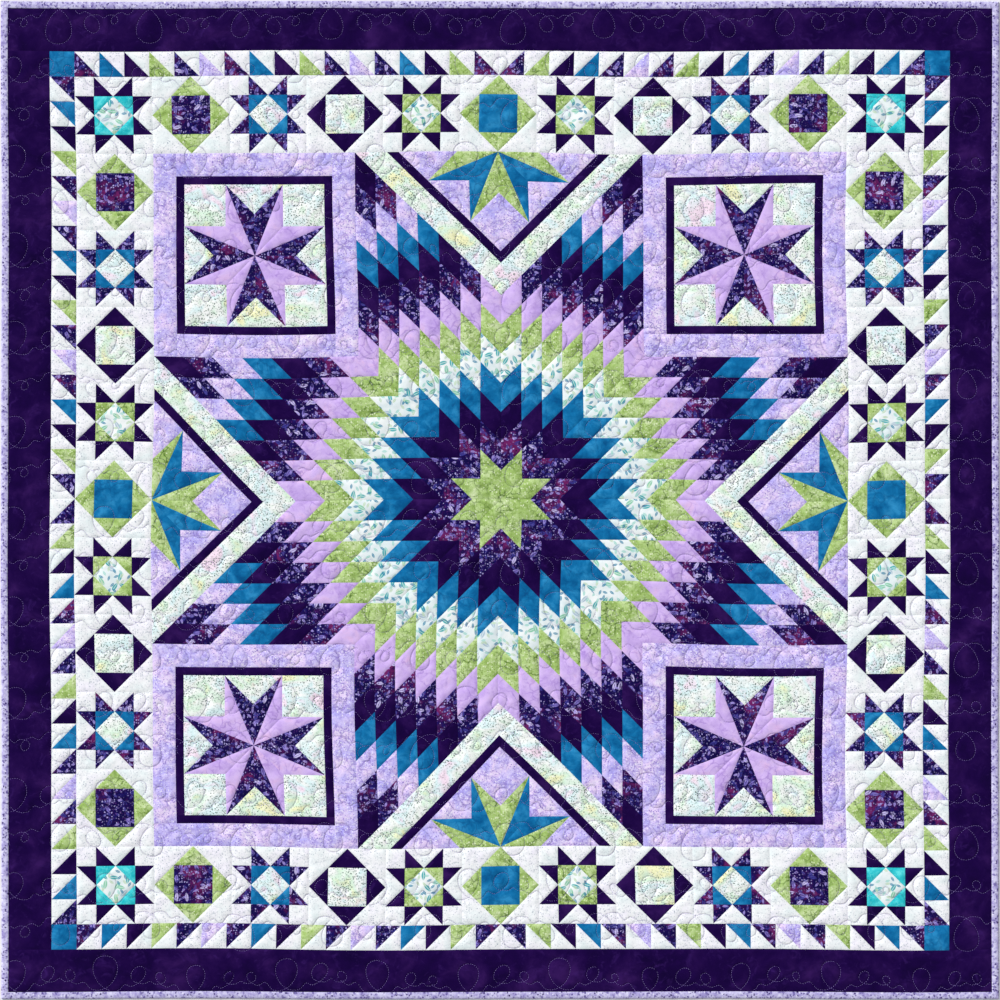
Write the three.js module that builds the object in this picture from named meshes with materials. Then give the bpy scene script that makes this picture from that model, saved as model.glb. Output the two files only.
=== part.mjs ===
// A star quilt lying flat, face up: eight diamond star points, four corner squares and four
// side triangles, framed by a block border, a sawtooth border, a plain outer border and a binding.
// Each panel carries its share of the padded sandwich of top, batting and backing, so its face is
// quilted into low puffs and its underside is flat. Millimetres, +Z up, +Y towards the quilt's top
// edge, origin at the middle of the underside.
import * as THREE from 'three';

// Driving dimensions
const QUILT_SIDE = 2134; // 84 inches, finished, with the binding
const BINDING_WIDTH = 15;
const OUTER_BORDER_WIDTH = 91;
const TEETH_PER_SIDE = 36; // sawtooth squares along the outside of the sawtooth border
const BLOCKS_PER_SIDE = 11; // pieced blocks along the outside of the block border
const SEAM_GAP = 0.3; // between neighbouring panels

// Heights of the quilted face above the surface it lies on
const SEAM_HEIGHT = 3.2; // where two panels are sewn together
const STITCHED_HEIGHT = 3.6; // where the quilting holds the layers down
const PUFF_RISE = 2.4; // from there to the top of a puff
const SEAM_REACH = 14; // how far from a seam the face is drawn down

// The quilting runs in rows, and its puffs are set half a length over in every second row
const QUILTING_ROWS = 22;
const PUFF_LENGTH = 146;

// How finely the panels follow the puffs
const PANEL_STEP = 34;
const STRIP_STEP = 38;
const BINDING_STEP = 72;

// The binding's section: distance out from its inner seam, and height
const BINDING_SECTION = [
  { out: 0, up: 0 },
  { out: 12.6, up: 0 },
  { out: 14.8, up: 1.1 },
  { out: 14.8, up: 3.2 },
  { out: 12.4, up: 4.6 },
  { out: 5.5, up: 5.0 },
  { out: 0, up: 3.9 },
];

// The cloth isn't cut and sewn quite true: slow waves push each point in the plan by a few
// millimetres. They fade out at the edge, which runs almost straight.
const DRIFTS = [
  { moves: 'x', size: 3.4, wave: 1180, turn: 0.35, lean: 0.25 },
  { moves: 'x', size: 1.6, wave: 540, turn: 2.1, lean: -0.4 },
  { moves: 'y', size: 3.0, wave: 1040, turn: 1.3, lean: 0.3 },
  { moves: 'y', size: 1.5, wave: 610, turn: 4.4, lean: -0.35 },
];
const EDGE_DRIFT = 0.25; // share of a drift that is left at the quilt's edge

const COLOURS = {
  floralPurple: 0x42347a,
  lavender: 0xb9a6e6,
  paleSpeckle: 0xe2ece8,
  whiteGround: 0xe9eff3,
  teal: 0x1c74ab,
  deepPurple: 0x1e0744,
  lilacPrint: 0xb4add8,
};

// Half sizes of the nested squares, from the outside in
const half = QUILT_SIDE / 2;
const borderOuter = half - BINDING_WIDTH;
const borderInner = borderOuter - OUTER_BORDER_WIDTH;
const toothSize = (2 * borderInner) / TEETH_PER_SIDE;
const teethInner = borderInner - toothSize;
const blockSize = (2 * teethInner) / BLOCKS_PER_SIDE;
const starHalf = teethInner - blockSize;
const pointSide = (2 * starHalf) / (2 + Math.SQRT2);
const pointDrop = pointSide * Math.SQRT1_2;
const rowPitch = QUILT_SIDE / QUILTING_ROWS;

// A plan point moved by the drifts
function drifted({ x, y }) {
  const rim = Math.max(Math.abs(x), Math.abs(y)) / half;
  const share = 1 - (1 - EDGE_DRIFT) * rim ** 6;
  const moved = { x, y };
  for (const { moves, size, wave, turn, lean } of DRIFTS) {
    const [along, across] = moves === 'x' ? [y, x] : [x, y];
    moved[moves] += share * size * Math.sin((2 * Math.PI * (along + lean * across)) / wave + turn);
  }
  return moved;
}

// How high the quilting lets the face rise at a plan point: 0 on the stitches, 1 on a puff
function puff({ x, y }) {
  const row = (y + half) / rowPitch;
  const shift = Math.floor(row) % 2 === 0 ? 0 : 0.5;
  const lengthwise = 0.6 + 0.4 * Math.cos(2 * Math.PI * (x / PUFF_LENGTH + shift));
  return Math.abs(Math.sin(Math.PI * row)) * lengthwise;
}

function faceHeight(point, seamDistance) {
  const open = 1 - Math.exp(-seamDistance / SEAM_REACH);
  const free = STITCHED_HEIGHT + PUFF_RISE * puff(point);
  return SEAM_HEIGHT + (free - SEAM_HEIGHT) * open;
}

const mix = (a, b, t) => ({ x: a.x + (b.x - a.x) * t, y: a.y + (b.y - a.y) * t });

const lengthOf = (a, b) => Math.hypot(b.x - a.x, b.y - a.y);

// How far a point lies inside the edge from a to b of an outline that runs anticlockwise
function inside(point, a, b) {
  return ((b.x - a.x) * (point.y - a.y) - (b.y - a.y) * (point.x - a.x)) / lengthOf(a, b);
}

// A convex outline with each edge drawn in by half the seam gap
function drawnIn(outline) {
  return outline.map((corner, i) => {
    const before = outline[(i + outline.length - 1) % outline.length];
    const after = outline[(i + 1) % outline.length];
    const toBefore = mix({ x: 0, y: 0 }, { x: before.x - corner.x, y: before.y - corner.y }, 1 / lengthOf(corner, before));
    const toAfter = mix({ x: 0, y: 0 }, { x: after.x - corner.x, y: after.y - corner.y }, 1 / lengthOf(corner, after));
    const sine = toAfter.x * toBefore.y - toAfter.y * toBefore.x;
    const reach = SEAM_GAP / 2 / sine;
    return { x: corner.x + (toBefore.x + toAfter.x) * reach, y: corner.y + (toBefore.y + toAfter.y) * reach };
  });
}

// Rows of plan points over a three- or four-cornered outline, about a step apart
function rowsOver(outline, step) {
  const [a, b, c, d = c] = outline;
  const isTriangle = outline.length === 3;
  const across = Math.ceil(Math.max(lengthOf(a, b), lengthOf(d, c)) / step);
  const rowCount = isTriangle ? across : Math.ceil(Math.max(lengthOf(b, c), lengthOf(a, d)) / step);
  const rows = [];
  for (let j = 0; j <= rowCount; j++) {
    const left = mix(a, d, j / rowCount);
    const right = mix(b, c, j / rowCount);
    const cells = isTriangle ? across - j : across;
    rows.push(Array.from({ length: cells + 1 }, (_, i) => mix(left, right, cells ? i / cells : 0)));
  }
  return rows;
}

// Collects corners and faces of one closed solid
class Solid {
  positions = [];
  faces = [];

  point(x, y, z) {
    this.positions.push(x, y, z);
    return this.positions.length / 3 - 1;
  }

  quad(a, b, c, d) {
    this.faces.push(a, b, c, a, c, d);
  }

  // Closes a loop of points with triangles that meet at a middle point
  fan(loop, x, y, z) {
    const middle = this.point(x, y, z);
    loop.forEach((a, i) => this.faces.push(a, loop[(i + 1) % loop.length], middle));
  }

  // A mesh with its own origin at the plan point `at`
  mesh(name, colour, at) {
    const geometry = new THREE.BufferGeometry();
    geometry.setAttribute('position', new THREE.Float32BufferAttribute(this.positions, 3));
    geometry.setIndex(this.faces);
    geometry.translate(-at.x, -at.y, 0);
    const flat = geometry.toNonIndexed();
    flat.computeVertexNormals();
    const cloth = new THREE.MeshStandardMaterial({ color: colour, roughness: 0.85, metalness: 0 });
    const mesh = new THREE.Mesh(flat, cloth);
    mesh.name = name;
    mesh.position.set(at.x, at.y, 0);
    return mesh;
  }
}

// One panel of the quilt: a quilted face, upright sides and a flat underside
function quiltedPanel(name, outline, colour, step) {
  const edges = drawnIn(outline);
  const solid = new Solid();
  const rows = rowsOver(edges, step);
  const ids = rows.map((row) =>
    row.map((point) => {
      const gaps = outline.map((corner, i) => inside(point, corner, outline[(i + 1) % outline.length]));
      const { x, y } = drifted(point);
      return solid.point(x, y, faceHeight(point, Math.min(...gaps)));
    }),
  );
  for (let j = 0; j + 1 < ids.length; j++) {
    const [lower, upper] = [ids[j], ids[j + 1]];
    for (let i = 0; i + 1 < lower.length; i++) {
      if (i + 1 < upper.length) {
        solid.quad(lower[i], lower[i + 1], upper[i + 1], upper[i]);
      } else {
        solid.faces.push(lower[i], lower[i + 1], upper[i]);
      }
    }
  }

  const last = ids.length - 1;
  const rightSide = ids.slice(1, last).map((row) => row[row.length - 1]);
  const leftSide = ids.slice(1, last).map((row) => row[0]).reverse();
  const rim = [...ids[0], ...rightSide, ...[...ids[last]].reverse(), ...leftSide];
  const foot = rim.map((id) => solid.point(solid.positions[3 * id], solid.positions[3 * id + 1], 0));
  rim.forEach((top, i) => {
    const next = (i + 1) % rim.length;
    solid.quad(foot[i], foot[next], rim[next], top);
  });
  const sum = outline.reduce((s, p) => ({ x: s.x + p.x, y: s.y + p.y }), { x: 0, y: 0 });
  const centre = mix({ x: 0, y: 0 }, sum, 1 / outline.length);
  solid.fan([...foot].reverse(), centre.x, centre.y, 0);
  return solid.mesh(name, colour, centre);
}

const at = (angle, length) => ({
  x: length * Math.cos((angle * Math.PI) / 180),
  y: length * Math.sin((angle * Math.PI) / 180),
});

const turned = (point, quarters) => {
  const [cos, sin] = [[1, 0], [0, 1], [-1, 0], [0, -1]][quarters];
  return { x: cos * point.x - sin * point.y, y: sin * point.x + cos * point.y };
};

// Eight diamonds that meet in the middle
function starPoints() {
  const group = new THREE.Group();
  for (let k = 0; k < 8; k++) {
    const [a, b] = [at(45 * k, pointSide), at(45 * (k + 1), pointSide)];
    const outline = [{ x: 0, y: 0 }, a, { x: a.x + b.x, y: a.y + b.y }, b];
    group.add(quiltedPanel(`star_point_${k + 1}`, outline, COLOURS.floralPurple, PANEL_STEP));
  }
  return group;
}

// A square in each corner between the star points, and a triangle on each side
function settingPanels() {
  const group = new THREE.Group();
  for (let k = 0; k < 4; k++) {
    const square = [
      { x: pointDrop, y: pointDrop },
      { x: starHalf, y: pointDrop },
      { x: starHalf, y: starHalf },
      { x: pointDrop, y: starHalf },
    ].map((corner) => turned(corner, k));
    const triangle = [
      { x: pointSide, y: 0 },
      { x: starHalf, y: -pointDrop },
      { x: starHalf, y: pointDrop },
    ].map((corner) => turned(corner, k));
    group.add(quiltedPanel(`corner_square_${k + 1}`, square, COLOURS.lavender, PANEL_STEP));
    group.add(quiltedPanel(`side_triangle_${k + 1}`, triangle, COLOURS.paleSpeckle, PANEL_STEP));
  }
  return group;
}

// Four strips round a square: top and bottom run the whole length, left and right fit between
function border(name, outer, inner, colour) {
  const group = new THREE.Group();
  const strips = [
    { side: 'top', left: -outer, right: outer, low: inner, high: outer },
    { side: 'bottom', left: -outer, right: outer, low: -outer, high: -inner },
    { side: 'left', left: -outer, right: -inner, low: -inner, high: inner },
    { side: 'right', left: inner, right: outer, low: -inner, high: inner },
  ];
  for (const { side, left, right, low, high } of strips) {
    const outline = [
      { x: left, y: low },
      { x: right, y: low },
      { x: right, y: high },
      { x: left, y: high },
    ];
    group.add(quiltedPanel(`${name}_${side}`, outline, colour, STRIP_STEP));
  }
  return group;
}

// The binding folds over the raw edge; its four runs meet in mitred corners
function binding() {
  const group = new THREE.Group();
  const steps = Math.ceil(QUILT_SIDE / BINDING_STEP);
  ['right', 'top', 'left', 'bottom'].forEach((side, quarters) => {
    const solid = new Solid();
    const loops = [];
    for (let k = 0; k <= steps; k++) {
      loops.push(
        BINDING_SECTION.map(({ out, up }) => {
          const reach = borderOuter + SEAM_GAP / 2 + out;
          const mitred = reach - SEAM_GAP / Math.SQRT2;
          const plan = turned({ x: reach, y: mitred * ((2 * k) / steps - 1) }, quarters);
          const { x, y } = drifted(plan);
          return solid.point(x, y, up);
        }),
      );
    }
    for (let k = 0; k < steps; k++) {
      BINDING_SECTION.forEach((_, i) => {
        const next = (i + 1) % BINDING_SECTION.length;
        solid.quad(loops[k][i], loops[k + 1][i], loops[k + 1][next], loops[k][next]);
      });
    }
    const middle = BINDING_SECTION.reduce(
      (sum, { out, up }) => ({ out: sum.out + out / BINDING_SECTION.length, up: sum.up + up / BINDING_SECTION.length }),
      { out: 0, up: 0 },
    );
    for (const [loop, end] of [[loops[0], -1], [[...loops[steps]].reverse(), 1]]) {
      const reach = borderOuter + SEAM_GAP / 2 + middle.out;
      const plan = turned({ x: reach, y: end * (reach - SEAM_GAP / Math.SQRT2) }, quarters);
      const { x, y } = drifted(plan);
      solid.fan(loop, x, y, middle.up);
    }
    const centre = turned({ x: borderOuter + BINDING_WIDTH / 2, y: 0 }, quarters);
    group.add(solid.mesh(`binding_${side}`, COLOURS.lilacPrint, centre));
  });
  return group;
}

const quilt = new THREE.Group();
quilt.add(starPoints());
quilt.add(settingPanels());
quilt.add(border('block_border', teethInner, starHalf, COLOURS.whiteGround));
quilt.add(border('sawtooth_border', borderInner, teethInner, COLOURS.teal));
quilt.add(border('outer_border', borderOuter, borderInner, COLOURS.deepPurple));
quilt.add(binding());

export default quilt;
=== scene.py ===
import math

import bpy
import numpy as np
from mathutils import Matrix, Vector
from mathutils.kdtree import KDTree


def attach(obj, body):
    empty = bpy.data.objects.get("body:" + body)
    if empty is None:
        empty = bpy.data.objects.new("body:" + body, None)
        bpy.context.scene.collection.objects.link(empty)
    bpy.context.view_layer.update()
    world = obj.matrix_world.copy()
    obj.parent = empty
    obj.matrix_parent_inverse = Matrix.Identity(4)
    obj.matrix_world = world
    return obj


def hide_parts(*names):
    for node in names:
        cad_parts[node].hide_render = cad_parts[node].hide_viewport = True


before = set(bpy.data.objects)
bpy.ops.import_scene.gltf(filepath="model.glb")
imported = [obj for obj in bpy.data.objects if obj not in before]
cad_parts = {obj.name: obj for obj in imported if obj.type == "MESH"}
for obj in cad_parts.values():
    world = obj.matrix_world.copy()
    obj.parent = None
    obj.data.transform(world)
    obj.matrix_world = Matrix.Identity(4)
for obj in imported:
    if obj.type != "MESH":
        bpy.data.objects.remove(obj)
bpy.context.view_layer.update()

# Star points
# Eight diamonds of quilting cotton that meet in the quilt's middle, each strip-pieced from seven rows
# of seven small diamonds, so that the cottons run in rings. Like every panel of the top, they are
# quilted to a thin batting and a plain backing by looped rows of machine stitches.

MM = 0.001
HALF = 1067 * MM  # 84 inches, finished
BINDING_WIDTH = 15 * MM
OUTER_BORDER_WIDTH = 91 * MM
TEETH_PER_SIDE = 36
BLOCKS_PER_SIDE = 11
BORDER_OUTER = HALF - BINDING_WIDTH
BORDER_INNER = BORDER_OUTER - OUTER_BORDER_WIDTH
TOOTH = 2 * BORDER_INNER / TEETH_PER_SIDE
TEETH_INNER = BORDER_INNER - TOOTH
BLOCK = 2 * TEETH_INNER / BLOCKS_PER_SIDE
STAR_HALF = TEETH_INNER - BLOCK
POINT_SIDE = 2 * STAR_HALF / (2 + math.sqrt(2))

SMALL_DIAMONDS = 7  # along each side of a star point
DIAMOND_CELLS = 14  # along each side of a small diamond, about 4.4 mm a cell


def linear(hex_colour):
    """An sRGB hex colour as the linear colour that shaders take."""
    parts = [int(hex_colour[i : i + 2], 16) / 255 for i in (1, 3, 5)]
    return [c / 12.92 if c <= 0.04045 else ((c + 0.055) / 1.055) ** 2.4 for c in parts] + [1]


def add(tree, kind, wires=(), colours=(), **settings):
    """Adds a node; wires feed its inputs with sockets or plain values, and colours fill its ramp."""
    made = tree.nodes.new(f"ShaderNode{kind}")
    for name, value in settings.items():
        setattr(made, name, value)
    for name, value in dict(wires).items():
        if isinstance(value, bpy.types.NodeSocket):
            tree.links.new(value, made.inputs[name])
        else:
            made.inputs[name].default_value = value
    for number, (spot, hex_colour) in enumerate(colours):
        elements = made.color_ramp.elements
        stop = elements[number] if number < 2 else elements.new(spot)
        stop.position, stop.color = spot, linear(hex_colour)
    return made


# Quilting cotton is a plain weave of about 0.4 mm threads. It gives the eye a dull, slightly fuzzy
# face with no highlight, and fine creases where washing has drawn it up between the stitches. The
# weave is drawn three times as coarse, so that it shows in a near view, as a bump and as painted shade
# between the threads and painted light on them.
THREAD_PITCH = 1.2 * MM
THREAD_DEPTH = 0.08 * MM
# Painted shade between the threads and painted light on them, as shares of the cloth's colour
WEAVE_PAINTED_SHADE_AND_LIGHT = (0.93, 1.16)  # of the cloth's colour, between threads and on them
WAVES_PER_SCALE = 20 / (2 * math.pi)  # bands that a wave texture draws in a metre at scale 1
CREASE_LENGTH = 14 * MM
CREASE_DEPTH = 0.5 * MM
FURROW_REACH = 2.7 * MM  # from a line of stitches to either side
FURROW_DEPTH = 0.8 * MM
# Painted shade: in the furrow the cloth's colour is darkened to this share of its brightness
FURROW_SHADE = 0.88  # of the cloth's brightness, in the furrow


def cotton(name, print_colour):
    """A quilting cotton; print_colour(tree, place) gives its dyed or printed colour. Its attributes are
    cut, where the patch was cut from the cloth, and furrow, how far aside a line of stitches runs and
    how near it is. The stitches sink into a furrow that is finer than the mesh: it is bumped, and its
    shade is painted into the colour. The colour also carries painted shade between the threads of the
    weave and painted light on them."""
    material = bpy.data.materials.new(name)
    material.use_nodes = True
    tree = material.node_tree
    shader = tree.nodes["Principled BSDF"]
    at = add(tree, "TexCoord").outputs["Object"]
    cut = add(tree, "Attribute", attribute_name="cut").outputs["Vector"]
    place = add(tree, "VectorMath", {0: at, 1: cut}, operation="ADD").outputs["Vector"]
    scale = 1 / (THREAD_PITCH * WAVES_PER_SCALE)
    warp = add(tree, "TexWave", {"Vector": at, "Scale": scale}, bands_direction="X")
    weft = add(tree, "TexWave", {"Vector": at, "Scale": scale}, bands_direction="Y")
    weave = add(tree, "Math", {0: warp.outputs["Fac"], 1: weft.outputs["Fac"]}, operation="MULTIPLY")
    creases = add(
        tree, "TexNoise", {"Vector": at, "Scale": 1 / CREASE_LENGTH, "Detail": 3.0, "Distortion": 0.6}
    )
    puckered = add(
        tree, "Bump", {"Strength": 1.0, "Distance": CREASE_DEPTH, "Height": creases.outputs["Fac"]}
    )
    stitched = add(tree, "Attribute", attribute_name="furrow").outputs["Vector"]
    beside = add(tree, "SeparateXYZ", {0: stitched})
    aside = add(tree, "Math", {0: beside.outputs["X"]}, operation="ABSOLUTE")
    seen = beside.outputs["Y"]
    furrow = add(
        tree,
        "MapRange",
        {"Value": aside.outputs[0], "From Min": FURROW_REACH, "From Max": 0.0, "To Max": seen},
        interpolation_type="SMOOTHSTEP",
    )
    sunk = add(
        tree,
        "Bump",
        {
            "Strength": 1.0,
            "Distance": FURROW_DEPTH,
            "Height": furrow.outputs["Result"],
            "Normal": puckered.outputs["Normal"],
        },
        invert=True,
    )
    woven = add(
        tree,
        "Bump",
        {
            "Strength": 0.5,
            "Distance": THREAD_DEPTH,
            "Height": weave.outputs[0],
            "Normal": sunk.outputs["Normal"],
        },
    )
    tree.links.new(woven.outputs["Normal"], shader.inputs["Normal"])
    between, on = WEAVE_PAINTED_SHADE_AND_LIGHT
    # Painted shade between the threads and painted light on them
    threads = add(tree, "MapRange", {"Value": weave.outputs[0], "To Min": between, "To Max": on})
    # Painted shade in the furrow, where the stitches draw the cloth down
    shade = add(
        tree,
        "MapRange",
        {"Value": furrow.outputs["Result"], "From Min": 0.3, "To Min": 1.0, "To Max": FURROW_SHADE},
    )
    painted_shade_and_light = add(
        tree, "Math", {0: threads.outputs["Result"], 1: shade.outputs["Result"]}, operation="MULTIPLY"
    )
    # The printed colour, under the painted shade of the furrow and the painted shade and light of the weave
    dyed = add(
        tree,
        "VectorMath",
        {0: print_colour(tree, place), "Scale": painted_shade_and_light.outputs[0]},
        operation="SCALE",
    )
    tree.links.new(dyed.outputs["Vector"], shader.inputs["Base Color"])
    shader.inputs["Roughness"].default_value = 0.92
    shader.inputs["IOR"].default_value = 1.47
    shader.inputs["Specular IOR Level"].default_value = 0.05
    shader.inputs["Sheen Weight"].default_value = 0.01
    shader.inputs["Sheen Roughness"].default_value = 0.6
    return material


def mottled(tree, place, blotch, colours, detail=5.0):
    """Hand-dyed colour: the colours run into each other in blotches of about that many metres."""
    clouds = add(
        tree,
        "TexNoise",
        {"Vector": place, "Scale": 1 / blotch, "Detail": detail, "Roughness": 0.62, "Distortion": 0.4},
    )
    return add(tree, "ValToRGB", {"Fac": clouds.outputs["Fac"]}, colours).outputs["Color"]


# A printed leaf, in pitches of the cells that the leaves are tossed in
LEAF_HALF_LENGTH = 0.5
LEAF_HALF_WIDTH = 0.2
LEAF_EDGE = 0.06
VEIN_HALF_WIDTH = 0.015
VEIN_EDGE = 0.05


def leaves(tree, place, shift, pitch, ground, colours):
    """Prints tossed leaves over the ground colour, one in each cell of a pitch, each turned its own
    way, in one of the colours, with a fine vein."""
    moved = add(tree, "VectorMath", {0: place, 1: (shift, 1.7 * shift, 0)}, operation="ADD")
    cells = add(
        tree,
        "TexVoronoi",
        {"Vector": moved.outputs["Vector"], "Scale": 1 / pitch, "Randomness": 0.9},
        voronoi_dimensions="2D",
    )
    off = add(
        tree,
        "VectorMath",
        {0: moved.outputs["Vector"], 1: cells.outputs["Position"]},
        operation="SUBTRACT",
    )
    chance = add(tree, "SeparateColor", {0: cells.outputs["Color"]})
    angle = add(tree, "Math", {0: chance.outputs["Red"], 1: 2 * math.pi}, operation="MULTIPLY")
    turned = add(
        tree,
        "VectorRotate",
        {"Vector": off.outputs["Vector"], "Angle": angle.outputs[0]},
        rotation_type="Z_AXIS",
    )
    axes = add(tree, "SeparateXYZ", {0: turned.outputs["Vector"]})
    along = add(
        tree, "Math", {0: axes.outputs["X"], 1: LEAF_HALF_LENGTH * pitch}, operation="DIVIDE"
    )
    squared = add(tree, "Math", {0: along.outputs[0], 1: along.outputs[0]}, operation="MULTIPLY")
    widest = LEAF_HALF_WIDTH * pitch
    edge = add(
        tree, "Math", {0: squared.outputs[0], 1: -widest, 2: widest}, operation="MULTIPLY_ADD"
    )
    aside = add(tree, "Math", {0: axes.outputs["Y"]}, operation="ABSOLUTE")
    inside = add(tree, "Math", {0: edge.outputs[0], 1: aside.outputs[0]}, operation="SUBTRACT")
    leaf = add(
        tree,
        "MapRange",
        {"Value": inside.outputs[0], "From Min": 0.0, "From Max": LEAF_EDGE * pitch},
    )
    vein = add(
        tree,
        "MapRange",
        {
            "Value": aside.outputs[0],
            "From Min": VEIN_HALF_WIDTH * pitch,
            "From Max": VEIN_EDGE * pitch,
            "To Min": 0.35,
        },
    )
    cover = add(
        tree, "Math", {0: leaf.outputs["Result"], 1: vein.outputs["Result"]}, operation="MULTIPLY"
    )
    dye = add(tree, "ValToRGB", {"Fac": chance.outputs["Green"]}, colours)
    dye.color_ramp.interpolation = "CONSTANT"
    return add(
        tree, "MixRGB", {"Fac": cover.outputs[0], "Color1": ground, "Color2": dye.outputs["Color"]}
    ).outputs["Color"]


SPECK_PULL = 1.1  # how far the specks are pulled out of round, in pitches


def specks(tree, place, pitch, size, crowd, ground, colours):
    """Prints fine uneven specks over the ground colour, one in each cell of a pitch, in one of the
    colours. Size is a speck's radius in pitches, and they are strong in spots that are a crowd apart."""
    ragged = add(tree, "TexNoise", {"Vector": place, "Scale": 1.4 / pitch, "Detail": 2.0})
    pulled = add(
        tree,
        "VectorMath",
        {0: ragged.outputs["Color"], 1: (SPECK_PULL * pitch,) * 3, 2: place},
        operation="MULTIPLY_ADD",
    )
    cells = add(
        tree,
        "TexVoronoi",
        {"Vector": pulled.outputs["Vector"], "Scale": 1 / pitch},
        voronoi_dimensions="2D",
    )
    chance = add(tree, "SeparateColor", {0: cells.outputs["Color"]})
    crowds = add(tree, "TexNoise", {"Vector": place, "Scale": 1 / crowd, "Detail": 2.0})
    crowded = add(
        tree,
        "MapRange",
        {"Value": crowds.outputs["Fac"], "From Min": 0.36, "From Max": 0.58, "To Min": 0.5, "To Max": 1.8},
    )
    strength = add(
        tree,
        "Math",
        {0: chance.outputs["Blue"], 1: crowded.outputs["Result"]},
        operation="MULTIPLY",
        use_clamp=True,
    )
    dot = add(
        tree,
        "MapRange",
        {
            "Value": cells.outputs["Distance"],
            "From Min": size,
            "From Max": 0.5 * size,
            "To Max": strength.outputs[0],
        },
    )
    dye = add(tree, "ValToRGB", {"Fac": chance.outputs["Red"]}, colours)
    return add(
        tree, "MixRGB", {"Fac": dot.outputs["Result"], "Color1": ground, "Color2": dye.outputs["Color"]}
    ).outputs["Color"]


VEIN_SWAY = 2.2  # how far they wander, in pitches


def veins(tree, place, pitch, width, share, ground, hex_colour):
    """Dyes wandering veins over the ground colour, which come and go."""
    sway = add(tree, "TexNoise", {"Vector": place, "Scale": 0.8 / pitch, "Detail": 3.0})
    swayed = add(
        tree, "VectorMath", {0: sway.outputs["Color"], 1: (VEIN_SWAY * pitch,) * 3}, operation="MULTIPLY"
    )
    warped = add(tree, "VectorMath", {0: place, 1: swayed.outputs["Vector"]}, operation="ADD")
    cells = add(
        tree,
        "TexVoronoi",
        {"Vector": warped.outputs["Vector"], "Scale": 1 / pitch},
        voronoi_dimensions="2D",
        feature="DISTANCE_TO_EDGE",
    )
    patchy = add(tree, "TexNoise", {"Vector": place, "Scale": 0.6 / pitch, "Detail": 1.0})
    strength = add(
        tree,
        "MapRange",
        {"Value": patchy.outputs["Fac"], "From Min": 0.42, "From Max": 0.62, "To Max": share},
    )
    line = add(
        tree,
        "MapRange",
        {
            "Value": cells.outputs["Distance"],
            "From Min": width / pitch,
            "From Max": 0.0,
            "To Max": strength.outputs["Result"],
        },
    )
    return add(
        tree, "MixRGB", {"Fac": line.outputs["Result"], "Color1": ground, "Color2": linear(hex_colour)}
    ).outputs["Color"]


def clouded(tree, place, blotch, low, high, ground, hex_colour):
    """Lets a second dye come through the ground colour in clouds of about that many metres."""
    clouds = add(
        tree,
        "TexNoise",
        {"Vector": place, "Scale": 1 / blotch, "Detail": 6.0, "Roughness": 0.7, "Distortion": 0.8},
    )
    share = add(
        tree, "MapRange", {"Value": clouds.outputs["Fac"], "From Min": low, "From Max": high}
    )
    return add(
        tree, "MixRGB", {"Fac": share.outputs["Result"], "Color1": ground, "Color2": linear(hex_colour)}
    ).outputs["Color"]


def lime_print(tree, place):
    """Lime batik: pale and darker greens run together, with wandering wax cracks and fine specks."""
    ground = mottled(
        tree, place, 34 * MM, [(0.3, "#87a654"), (0.44, "#a9c874"), (0.55, "#bfd992"), (0.7, "#dcebba")]
    )
    shaded = clouded(tree, place, 12 * MM, 0.52, 0.73, ground, "#6f8d3a")
    veined = veins(tree, place, 20 * MM, 2.4 * MM, 1.0, shaded, "#466626")
    greens = [(0.0, "#7a9846"), (0.5, "#9cb965"), (0.85, "#e4f0c6")]
    return specks(tree, place, 4.4 * MM, 0.46, 26 * MM, veined, greens)


def floral_purple_print(tree, place):
    """Dark print: periwinkle leaves in two sizes over navy that turns to plum, busy and glinting."""
    ground = mottled(
        tree, place, 60 * MM, [(0.36, "#0f0842"), (0.5, "#190b50"), (0.56, "#3a114c"), (0.63, "#6d2160")]
    )
    periwinkle = [(0.0, "#1c1562"), (0.3, "#3c3a8c"), (0.6, "#7f72c4"), (0.85, "#cdc3f4")]
    large = leaves(tree, place, 0.0, 22 * MM, ground, periwinkle)
    dim = [(0.0, "#120948"), (0.35, "#4a4696"), (0.7, "#a394de")]
    small = leaves(tree, place, 0.31, 13 * MM, large, dim)
    berries = [(0.0, "#0d0638"), (0.5, "#5a2a78"), (0.75, "#b9b0ea")]
    return specks(tree, place, 5 * MM, 0.34, 26 * MM, small, berries)


def deep_purple_print(tree, place):
    """Deep purple hand-dye: nearly black, with soft lighter clouds."""
    ground = mottled(
        tree, place, 70 * MM, [(0.32, "#130136"), (0.46, "#1a0240"), (0.57, "#230848"), (0.7, "#341558")]
    )
    return clouded(tree, place, 24 * MM, 0.55, 0.82, ground, "#3a1c66")


def teal_print(tree, place):
    """Teal hand-dye: clear blue in drifts, with faint darker cracks."""
    ground = mottled(tree, place, 34 * MM, [(0.34, "#065a92"), (0.5, "#1273ac"), (0.66, "#2f8fc6")])
    shaded = clouded(tree, place, 14 * MM, 0.54, 0.8, ground, "#0c4c86")
    return veins(tree, place, 24 * MM, 3.0 * MM, 0.45, shaded, "#0a4478")


def teal_leaf_print(tree, place):
    """White print: teal, mint and grey leaves tossed on near white."""
    ground = mottled(tree, place, 60 * MM, [(0.4, "#e0eef0"), (0.6, "#f6fbfa")])
    strong = [(0.0, "#49afb2"), (0.4, "#8ccdac"), (0.7, "#b0c5d4")]
    pale = [(0.0, "#a4dad0"), (0.4, "#3a8bac"), (0.75, "#c5ddbe")]
    large = leaves(tree, place, 0.0, 24 * MM, ground, strong)
    return leaves(tree, place, 0.23, 14 * MM, large, pale)


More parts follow.
